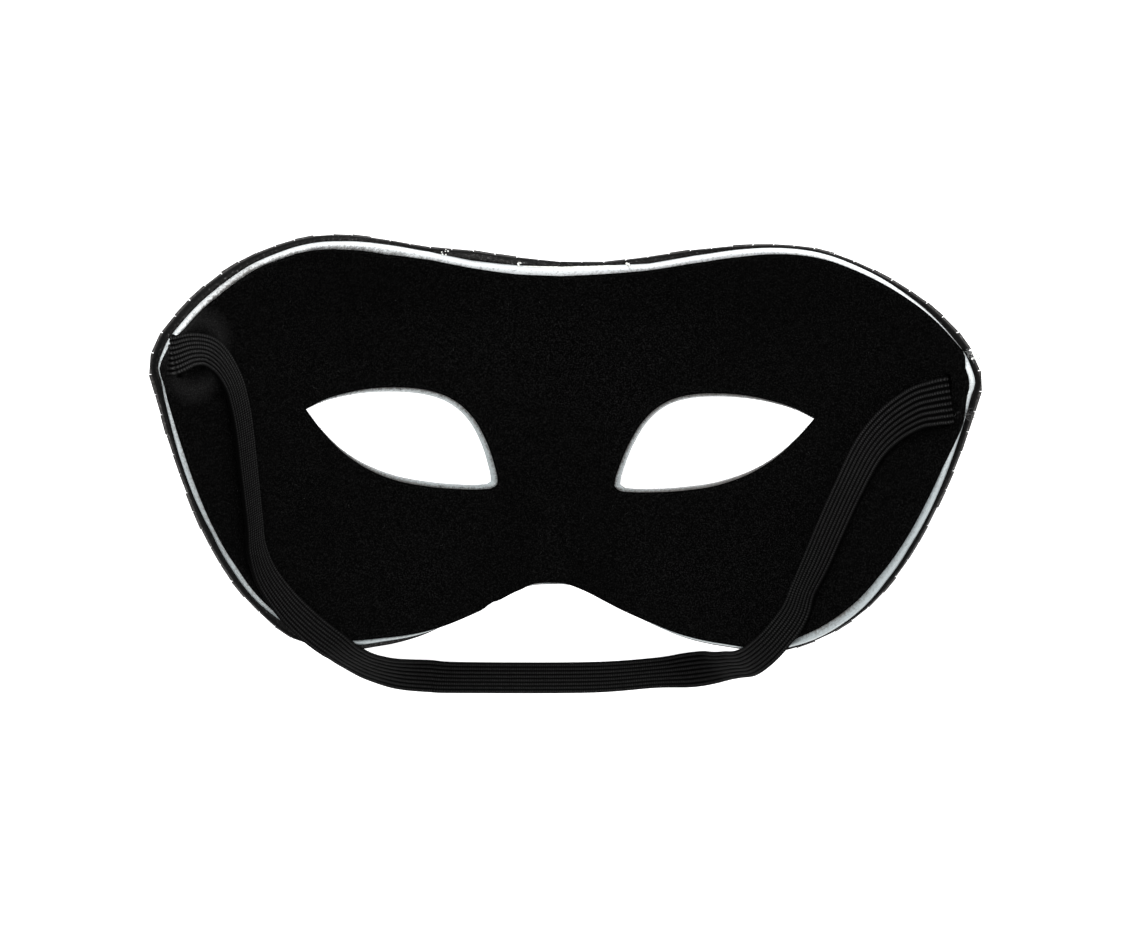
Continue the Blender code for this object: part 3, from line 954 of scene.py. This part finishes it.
def noise(tree, scale, detail=2.0, roughness=0.5):
    sizes = {"Scale": scale, "Detail": detail, "Roughness": roughness}
    return node(tree, "ShaderNodeTexNoise", Vector=place_of(tree), **sizes).outputs["Fac"]


def bump(tree, height, strength, distance):
    made = node(tree, "ShaderNodeBump", Height=height, Strength=strength, Distance=distance)
    return made.outputs["Normal"]


def attribute(tree, name):
    made = tree.nodes.new("ShaderNodeAttribute")
    made.attribute_name = name
    return made.outputs["Fac"]


def calc(tree, operation, *inputs):
    """The outcome of one step of arithmetic on numbers or sockets."""
    named = {f"_{number}": value for number, value in enumerate(inputs)}
    return node(tree, "ShaderNodeMath", operation=operation, **named).outputs[0]


def mixed(tree, kind, factor, first, second):
    """Two colours blended by a factor."""
    made = node(
        tree, "ShaderNodeMix", data_type="RGBA", blend_type=kind, _0=factor, _6=first, _7=second
    )
    return made.outputs[2]


def wire(tree, shader, **outputs):
    """Links outputs to the shader's sockets of the same names."""
    for name, output in outputs.items():
        tree.links.new(output, shader.inputs[name.replace("_", " ")])


def principled(name, colour, roughness, metallic=0.0, specular=0.5):
    """A material with the values that are the same all over; returns it, its tree and its shader."""
    material = bpy.data.materials.new(name)
    material.use_nodes = True
    material.diffuse_color = (*colour, 1.0)
    tree = material.node_tree
    shader = tree.nodes["Principled BSDF"]
    shader.inputs["Base Color"].default_value = (*colour, 1.0)
    shader.inputs["Roughness"].default_value = roughness
    shader.inputs["Metallic"].default_value = metallic
    shader.inputs["Specular IOR Level"].default_value = specular
    return material, tree, shader


def flock_material():
    """Black flock: a fine grain, with painted highlight in rings over the strap's knotted ends."""
    material, tree, shader = principled("flock", (0.0018, 0.0018, 0.0019), 1.0, specular=0.0)
    place = place_of(tree)
    grain = noise(tree, 3300.0, 2.0, 0.7)
    colour = ramp(tree, grain, ((0.36, 0.0004), (0.52, 0.0015), (0.66, 0.0078)))
    # Painted highlight: a paler ring round each knot's mark, where the raised flock would catch the
    # light.
    for middle, radius in KNOT_HIGHLIGHT_RINGS:
        far = node(tree, "ShaderNodeVectorMath", operation="DISTANCE", _0=place, _1=middle)
        inner = radius - KNOT_HIGHLIGHT_WIDTH
        outer = radius + KNOT_HIGHLIGHT_WIDTH
        stops = ((inner, 0.0), (radius, KNOT_HIGHLIGHT_LEVEL), (outer, 0.0))
        ring = ramp(tree, far.outputs["Value"], stops)
        colour = mixed(tree, "ADD", grain, colour, ring)
    wire(tree, shader, Base_Color=colour, Normal=bump(tree, grain, 0.6, 0.00012))
    return material


def plastic_material():
    """Moulded plastic, white at the brow; painted shade darkens it lower down and, with flock dust,
    by the lining.
    """
    material, tree, shader = principled("silver_white_plastic", (0.60, 0.63, 0.65), 0.35)
    scuff = noise(tree, 420.0, 4.0, 0.6)
    place = node(tree, "ShaderNodeSeparateXYZ", Vector=place_of(tree))
    # Painted shade: paler at the brow, darker grey lower down, where less light falls.
    shaded_by_height = ramp(
        tree,
        place.outputs["Y"],
        ((0.000, (0.34, 0.38, 0.39)), (0.026, (0.66, 0.71, 0.72)), (0.036, (0.74, 0.77, 0.78))),
    )
    # Flock dust and painted shade: darker grey near the lining's edge, more at the given places.
    dust_and_shade = noise(tree, 1700.0, 3.0, 0.7)
    laid = calc(tree, "MULTIPLY_ADD", attribute(tree, "dust_and_shade"), 0.5, dust_and_shade)
    dust_and_shade_mask = ramp(tree, laid, ((0.62, 0.0), (0.98, 1.0)))
    wire(
        tree,
        shader,
        Base_Color=mixed(tree, "MIX", dust_and_shade_mask, shaded_by_height, (*DUST_AND_SHADE_COLOUR, 1.0)),
        Roughness=ramp(tree, scuff, ((0.3, 0.22), (0.7, 0.42))),
        Normal=bump(tree, scuff, 0.25, 0.0001),
    )
    return material


def elastic_material():
    """Black braided elastic: each rib crossed by small slanted stitches; painted shade between the
    ribs.
    """
    material, tree, shader = principled("black_elastic", (0.006, 0.006, 0.006), 0.90, specular=0.03)
    uv = tree.nodes.new("ShaderNodeUVMap")
    uv.uv_map = "weave"
    split = node(tree, "ShaderNodeSeparateXYZ", Vector=uv.outputs["UV"])
    across = calc(tree, "FRACT", calc(tree, "MULTIPLY", split.outputs["X"], float(STRAP_RIBS)))
    slant = calc(tree, "PINGPONG", across, 0.5)
    along = calc(tree, "MULTIPLY", split.outputs["Y"], float(STITCHES_IN_A_WIDTH))
    moved = calc(tree, "ADD", along, calc(tree, "MULTIPLY", slant, 0.9))
    stitch = calc(tree, "PINGPONG", calc(tree, "FRACT", moved), 0.5)
    height = calc(tree, "ADD", stitch, noise(tree, 4200.0, 2.0))
    colour = ramp(tree, height, ((0.35, 0.0023), (0.75, 0.0119), (1.0, 0.0390)))
    # Painted shade: darker in the grooves between the ribs.
    groove = ramp(tree, slant, ((0.10, 0.02), (0.28, 0.32), (0.46, 1.0)))
    share = calc(tree, "MULTIPLY", split.outputs["Y"], STRAP_WIDTH / STRAP_LENGTH)
    grooved = mixed(tree, "MULTIPLY", 1.0, colour, groove)
    # Painted light: the elastic is made paler towards its ends.
    painted_light_along = mixed(tree, "MULTIPLY", 1.0, grooved, ramp(tree, share, STRAP_PAINTED_LIGHT))
    wire(tree, shader, Base_Color=painted_light_along, Normal=bump(tree, height, 0.8, 0.00016))
    return material


def mirror_material():
    """Smoky mirror faces of the mosaic, each tile a shade of its own."""
    material, tree, shader = principled("smoky_mirror", (0.16, 0.16, 0.17), 0.10, metallic=1.0)
    shades = ((0.0, (0.07, 0.07, 0.075)), (0.6, (0.17, 0.17, 0.18)), (1.0, (0.34, 0.34, 0.36)))
    wire(
        tree,
        shader,
        Base_Color=ramp(tree, attribute(tree, "shade"), shades),
        Roughness=ramp(tree, noise(tree, 300.0, 3.0), ((0.35, 0.05), (0.7, 0.22))),
        Normal=bump(tree, noise(tree, 90.0, 1.0), 0.06, 0.0004),
    )
    return material


def broken_edge_material():
    """Cut sides of the tiles: dark and rough, with small painted glints."""
    material, tree, shader = principled("tile_side", (0.040, 0.037, 0.036), 0.65, specular=0.2)
    grain = noise(tree, 1900.0, 3.0, 0.7)
    # Painted glints: the palest stop of the grain.
    stops = (
        (0.30, 0.006),
        (0.52, (0.030, 0.028, 0.027)),
        (0.66, (0.085, 0.081, 0.078)),
        (0.74, (0.50, 0.50, 0.49)),
    )
    wire(tree, shader, Base_Color=ramp(tree, grain, stops), Normal=bump(tree, grain, 0.8, 0.00025))
    return material


def backing_material():
    """Coarse dark backing of the tiles, with a few painted glints in it and painted shade by the
    base.
    """
    material, tree, shader = principled("backing", (0.035, 0.033, 0.032), 0.75, specular=0.15)
    grain = noise(tree, 1500.0, 3.0, 0.75)
    # Painted glints: the palest stop of the grain.
    colour = ramp(
        tree,
        grain,
        ((0.34, 0.006), (0.50, (0.040, 0.038, 0.037)), (0.62, (0.085, 0.082, 0.080)), (0.70, 0.50)),
    )
    # Painted shade: darker further in from the cover's edge, down the gap beside the base.
    lit = ramp(tree, attribute(tree, "gap"), ((0.10, 1.0), (0.45, 0.42), (0.80, 0.03)))
    shaded = mixed(tree, "MULTIPLY", 1.0, colour, lit)
    wire(tree, shader, Base_Color=shaded, Normal=bump(tree, grain, 0.6, 0.0003))
    return material


def hair_material(name, colour):
    material, tree, shader = principled(name, colour, 0.7, specular=0.2)
    tone = noise(tree, 700.0, 1.0)
    low = tuple(0.6 * c for c in colour)
    high = tuple(min(1.0, 1.5 * c) for c in colour)
    wire(tree, shader, Base_Color=ramp(tree, tone, ((0.35, low), (0.65, high))))
    return material


def glue_material():
    """Milky dried glue."""
    material, tree, shader = principled("dried_glue", (0.80, 0.80, 0.76), 0.25)
    shader.inputs["Subsurface Weight"].default_value = 0.3
    shader.inputs["Subsurface Radius"].default_value = (0.001, 0.001, 0.001)
    grain = noise(tree, 1500.0, 3.0)
    colour = ramp(tree, grain, ((0.35, (0.62, 0.62, 0.56)), (0.7, (0.90, 0.91, 0.90))))
    wire(tree, shader, Base_Color=colour, Normal=bump(tree, grain, 0.7, 0.0003))
    return material


def floor_material():
    material, tree, shader = principled("pale_floor", (0.90, 0.90, 0.90), 0.9, specular=0.1)
    shader.inputs["Emission Color"].default_value = (1.0, 1.0, 1.0, 1.0)
    shader.inputs["Emission Strength"].default_value = FLOOR_GLOW
    tone = noise(tree, 3.0, 2.0)
    wire(tree, shader, Base_Color=ramp(tree, tone, ((0.3, 0.89), (0.7, 0.91))))
    return material


def add_floor():
    bpy.ops.mesh.primitive_plane_add(size=FLOOR_SIZE)
    floor = bpy.context.object
    floor.name = "floor"
    floor.data.materials.append(floor_material())


def add_light(name, place, size, power):
    """A soft square light that looks at the mask."""
    data = bpy.data.lights.new(name, "AREA")
    data.size = size
    data.energy = power
    lamp = linked(name, data)
    lamp.location = place
    way = Vector(LIGHT_AIM) - Vector(place)
    lamp.rotation_euler = way.to_track_quat("-Z", "Y").to_euler()


def add_world():
    world = bpy.data.worlds.new("studio")
    world.use_nodes = True
    background = world.node_tree.nodes["Background"]
    background.inputs["Color"].default_value = (1.0, 1.0, 1.0, 1.0)
    background.inputs["Strength"].default_value = WORLD_STRENGTH
    bpy.context.scene.world = world


def add_camera():
    """A long lens over the hollow, leaning towards the brow and a little to the left."""
    right = Vector((math.cos(CAMERA_ASIDE), 0.0, math.sin(CAMERA_ASIDE)))
    back = Vector((
        -math.sin(CAMERA_ASIDE) * math.cos(CAMERA_RAISE),
        math.sin(CAMERA_RAISE),
        math.cos(CAMERA_ASIDE) * math.cos(CAMERA_RAISE),
    ))
    up = back.cross(right)
    level_right = right * math.cos(CAMERA_ROLL) + up * math.sin(CAMERA_ROLL)
    level_up = up * math.cos(CAMERA_ROLL) - right * math.sin(CAMERA_ROLL)
    turn = Matrix((level_right, level_up, back)).transposed()
    target = REST_TURN @ Vector((0.0, 0.0, CAMERA_AIM_Z)) + REST_PLACE
    data = bpy.data.cameras.new("camera")
    data.lens = CAMERA_LENS
    data.shift_x = CAMERA_SHIFT_X
    data.shift_y = CAMERA_SHIFT_Y
    camera = linked("camera", data)
    camera.rotation_euler = (REST_TURN @ turn).to_euler()
    camera.location = target + REST_TURN @ back * CAMERA_DISTANCE
    bpy.context.scene.camera = camera


def face_places(piece):
    """Where a piece's points lie in the face plane."""
    data = piece.data
    points = np.empty(3 * len(data.vertices))
    data.vertices.foreach_get("co", points)
    return from_world(points.reshape(-1, 3))[:, :2]


def border(edges):
    """Points of a layer's open edges, the outline's and the eye holes'."""
    places, quads = face_sheet(*edges)
    return places[np.unique(boundary_loops(quads))]


def nearest(places, line):
    """How far each place is from the nearest point of a line."""
    return np.min(np.hypot(*(places[:, None, :] - line[None, :, :]).transpose(2, 0, 1)), axis=1)


def mark(piece, name, amounts):
    layer = piece.data.attributes.new(name, "FLOAT", "POINT")
    layer.data.foreach_set("value", amounts)


def add_dust_and_shade(base, lining_edges):
    """Marks how thick flock dust and painted shade lie on the base: along the lining's edges, by
    place.
    """
    flat = face_places(base)
    amount = np.full(len(flat), DUST_AND_SHADE_EVERYWHERE)
    for x, y, reach, weight in DUST_AND_SHADE_PLACES:
        amount += weight * np.exp(-(((flat[:, 0] - x) ** 2 + (flat[:, 1] - y) ** 2) / reach**2))
    mark(base, "dust_and_shade", amount * np.exp(-nearest(flat, border(lining_edges)) / DUST_AND_SHADE_REACH))


def add_gap_shade(backing, backing_edges):
    """Marks how far in from the cover's edge each place lies, down the gap beside the base, for its
    painted shade.
    """
    near = nearest(face_places(backing), border(backing_edges))
    mark(backing, "gap", np.minimum(1.0, near / GAP_DEPTH))


def edge_hairs(edges, material, random):
    """Flock that stands out of the lining's edge."""
    places, quads = face_sheet(*edges)
    pairs = boundary_loops(quads)
    starts = places[pairs[:, 0]]
    ends = places[pairs[:, 1]]
    chosen = random.integers(0, len(pairs), EDGE_HAIRS)
    share = random.uniform(0.0, 1.0, (EDGE_HAIRS, 1))
    spots = starts[chosen] * (1 - share) + ends[chosen] * share
    along = unit(ends[chosen] - starts[chosen])
    height = random.uniform(LINING_TOP, LINING_BACK, EDGE_HAIRS)
    roots, normals = face_points(spots, height)
    ways = np.column_stack([along[:, 1], -along[:, 0], np.zeros(EDGE_HAIRS)])
    ways = unit(ways - normals * np.sum(ways * normals, axis=1)[:, None])
    ways = ways + random.normal(0.0, EDGE_HAIR_SPREAD, (EDGE_HAIRS, 3)) + normals * EDGE_HAIR_RISE
    lengths = random.uniform(*EDGE_HAIR_LENGTH, EDGE_HAIRS)
    ways = turn_to_world(ways)
    return make_fibres("edge_flock", to_world(roots), ways, lengths, HAIR_WIDTH, material, random)


def rim_places(side, span, count, random):
    """Places on the base's rim, most of them near the lining, over a span of x on one side."""
    loop = outline_loop()
    inner = moved_outline(-LINING_INSET_BROW, -LINING_INSET_SIDE, LINING, side)
    outer = moved_outline(0.0, 0.0, BASE, side)
    low, high = span
    stations = np.flatnonzero((loop[:, 0] > low) & (loop[:, 0] < high) & (loop[:, 1] > 0.0))
    chosen = random.choice(stations[stations < BROW_STATIONS + SIDE_STATIONS], count)
    after = chosen + 1
    way = random.uniform(0.0, 1.0, (count, 1))
    share = random.uniform(0.0, 0.85, (count, 1)) ** 1.6
    near = inner[chosen] * (1 - way) + inner[after] * way
    far = outer[chosen] * (1 - way) + outer[after] * way
    return (near * (1 - share) + far * share) * np.array([side, 1.0])


def eye_places(side, count, random):
    """Places on the edge of an eye hole, and the ways into the hole."""
    loop = eye_loop(side)
    chosen = random.integers(0, len(loop), count)
    out = outwards(loop)[chosen]
    mirror = np.array([side, 1.0])
    spots = loop[chosen] + out * random.uniform(-0.0001, LINING_INSET_EYE, (count, 1))
    return spots * mirror, -out * mirror


def lying(spots, ways, lift, random):
    """Roots and ways of fibres that lie on the face, turned at random."""
    roots, normals = face_points(spots, -lift)
    turned = np.column_stack([ways, np.zeros(len(ways))]) + random.normal(0.0, 0.8, (len(ways), 3))
    turned -= normals * np.sum(turned * normals, axis=1)[:, None]
    return to_world(roots), turn_to_world(unit(turned) + normals * 0.15)


def add_lint(random):
    """Grey fibres on the rim, in the eye holes and on the lining, and two frayed spots."""
    pieces = []
    pale = hair_material("pale_lint", (0.42, 0.43, 0.43))
    grey = hair_material("grey_lint", (0.13, 0.13, 0.13))
    dim = hair_material("dim_lint", (0.035, 0.035, 0.035))
    dusty = rim_places(-1, *RIM_LINT, random)
    roots, ways = lying(dusty, np.zeros_like(dusty), 0.0001, random)
    sizes = random.uniform(0.0003, 0.0009, len(roots))
    half = len(roots) // 2
    for name, part, material in (
        ("rim_lint_pale", slice(half), pale),
        ("rim_lint_grey", slice(half, None), grey),
    ):
        made = make_fibres(name, roots[part], ways[part], sizes[part], HAIR_WIDTH, material, random)
        pieces.append(made)
    for side, count in EYE_LINT:
        spots, inwards = eye_places(side, count, random)
        roots, ways = lying(spots, inwards, 0.0, random)
        sizes = random.uniform(0.0002, 0.0007, count)
        pieces.append(make_fibres("eye_lint", roots, ways, sizes, HAIR_WIDTH * 1.5, grey, random))
    spots = random.uniform(*SURFACE_LINT_SPAN, (SURFACE_LINT, 2))
    roots, ways = lying(spots, np.zeros_like(spots), -LINING_TOP, random)
    sizes = random.uniform(0.0002, 0.0012, SURFACE_LINT)
    pieces.append(make_fibres("lining_lint", roots, ways, sizes, HAIR_WIDTH * 0.8, dim, random))
    for name, start, end, count, length, material in FRAYS:
        share = random.uniform(0.0, 1.0, (count, 1))
        roots = np.array(start) * (1 - share) + np.array(end) * share
        roots = roots + random.normal(0.0, FRAY_SPREAD, (count, 3))
        ways = unit(np.array(end) - np.array(start)) + random.normal(0.0, 0.5, (count, 3))
        chosen = {"pale": pale, "grey": grey, "dim": dim}[material]
        sizes = random.uniform(0.4, 1.0, count) * length
        pieces.append(make_fibres(name, roots, ways, sizes, HAIR_WIDTH * 1.2, chosen, random))
    return pieces


def add_glue(random):
    """Dried glue: a thin bead along the middle of the brow, and lumps beside it."""
    material = glue_material()
    right = moved_outline(0.0, 0.0, BASE, 1)[:BROW_STATIONS]
    left = moved_outline(0.0, 0.0, BASE, -1)[1:BROW_STATIONS]
    line = np.vstack([(left * MIRROR)[::-1], right])
    line = line[(line[:, 0] > GLUE_BEAD[0]) & (line[:, 0] < GLUE_BEAD[1])]
    rows = np.arange(len(line))
    fine = picked(line, rows, np.linspace(0, rows[-1], GLUE_STEPS))
    fine[:, 1] += GLUE_RISE
    middle, normals = face_points(fine, GLUE_SINK)
    ends = np.sin(np.linspace(0.0, math.pi, len(fine))) ** 0.3
    radius = ends * random.uniform(0.6, 1.2, len(fine)) * GLUE_RADIUS
    radius = np.convolve(np.pad(radius, 1, mode="edge"), (0.25, 0.5, 0.25), "valid")
    up = np.array([0.0, 1.0, 0.0])
    spokes = []
    for angle in np.arange(GLUE_SIDES) * 2 * math.pi / GLUE_SIDES:
        spoke = (up * math.cos(angle) + normals * math.sin(angle)) * radius[:, None]
        spokes.append(to_world(middle + spoke))
    bead = tube("glue_bead", np.stack(spokes, axis=1), material)
    mesh = bmesh.new()
    for place, spread, count, size in GLUE_LUMPS:
        for _ in range(count):
            at = Vector(np.array(place) + random.normal(0.0, spread, 3))
            radius = size * random.uniform(0.5, 1.0)
            made = bmesh.ops.create_icosphere(mesh, subdivisions=2, radius=radius)
            for corner in made["verts"]:
                corner.co = corner.co * random.uniform(0.75, 1.15) + at
    lumps = from_bmesh("glue_lumps", mesh)
    lumps.data.materials.append(material)
    lumps.data.shade_smooth()
    return [bead, lumps]


def build():
    random = np.random.default_rng(SEED)
    base_edges = (0.0, 0.0, 0.0, BASE)
    lining_edges = (-LINING_INSET_BROW, -LINING_INSET_SIDE, LINING_INSET_EYE, LINING)
    backing_edges = (
        COVER_OVERHANG_BROW - BACKING_INSET_BROW,
        COVER_OVERHANG_SIDE - BACKING_INSET_SIDE,
        COVER_INSET_EYE,
        TILES,
    )
    plastic = plastic_material()
    base = shell("moulded_base", base_edges, 0.0, BASE_BACK, plastic, bulge=0.3, lip=1.0)
    add_dust_and_shade(base, lining_edges)
    lining = shell("flocked_lining", lining_edges, LINING_TOP, LINING_BACK, flock_material())
    add_slot(lining, SLOT_LEFT)
    add_slot(lining, SLOT_RIGHT)
    lining.data.shade_smooth()
    backing = shell("mosaic_backing", backing_edges, BACKING_TOP, TILE_BACK, backing_material())
    add_gap_shade(backing, backing_edges)
    polygons = half_mosaic(1, random) + mirrored_tiles(half_mosaic(-1, random))
    tiles = make_tiles(polygons, [mirror_material(), broken_edge_material()], random)
    make_strap(elastic_material())
    hairs = edge_hairs(lining_edges, hair_material("flock_hair", (0.012, 0.012, 0.013)), random)

    for piece, slot in (
        (base, "mask_base"),
        (lining, "lining"),
        (backing, "mosaic_cover"),
        (tiles, "mosaic_cover"),
        (hairs, "lining"),
        *((piece, "mask_base") for piece in add_lint(random) + add_glue(random)),
    ):
        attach(piece, "root")
    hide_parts("mask_base")
    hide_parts("lining")
    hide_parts("mosaic_cover")
    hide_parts("mosaic_cover")


add_world()
add_floor()
for lamp in LIGHTS:
    add_light(*lamp)
add_camera()
build()
bpy.context.scene.view_settings.view_transform = "Standard"
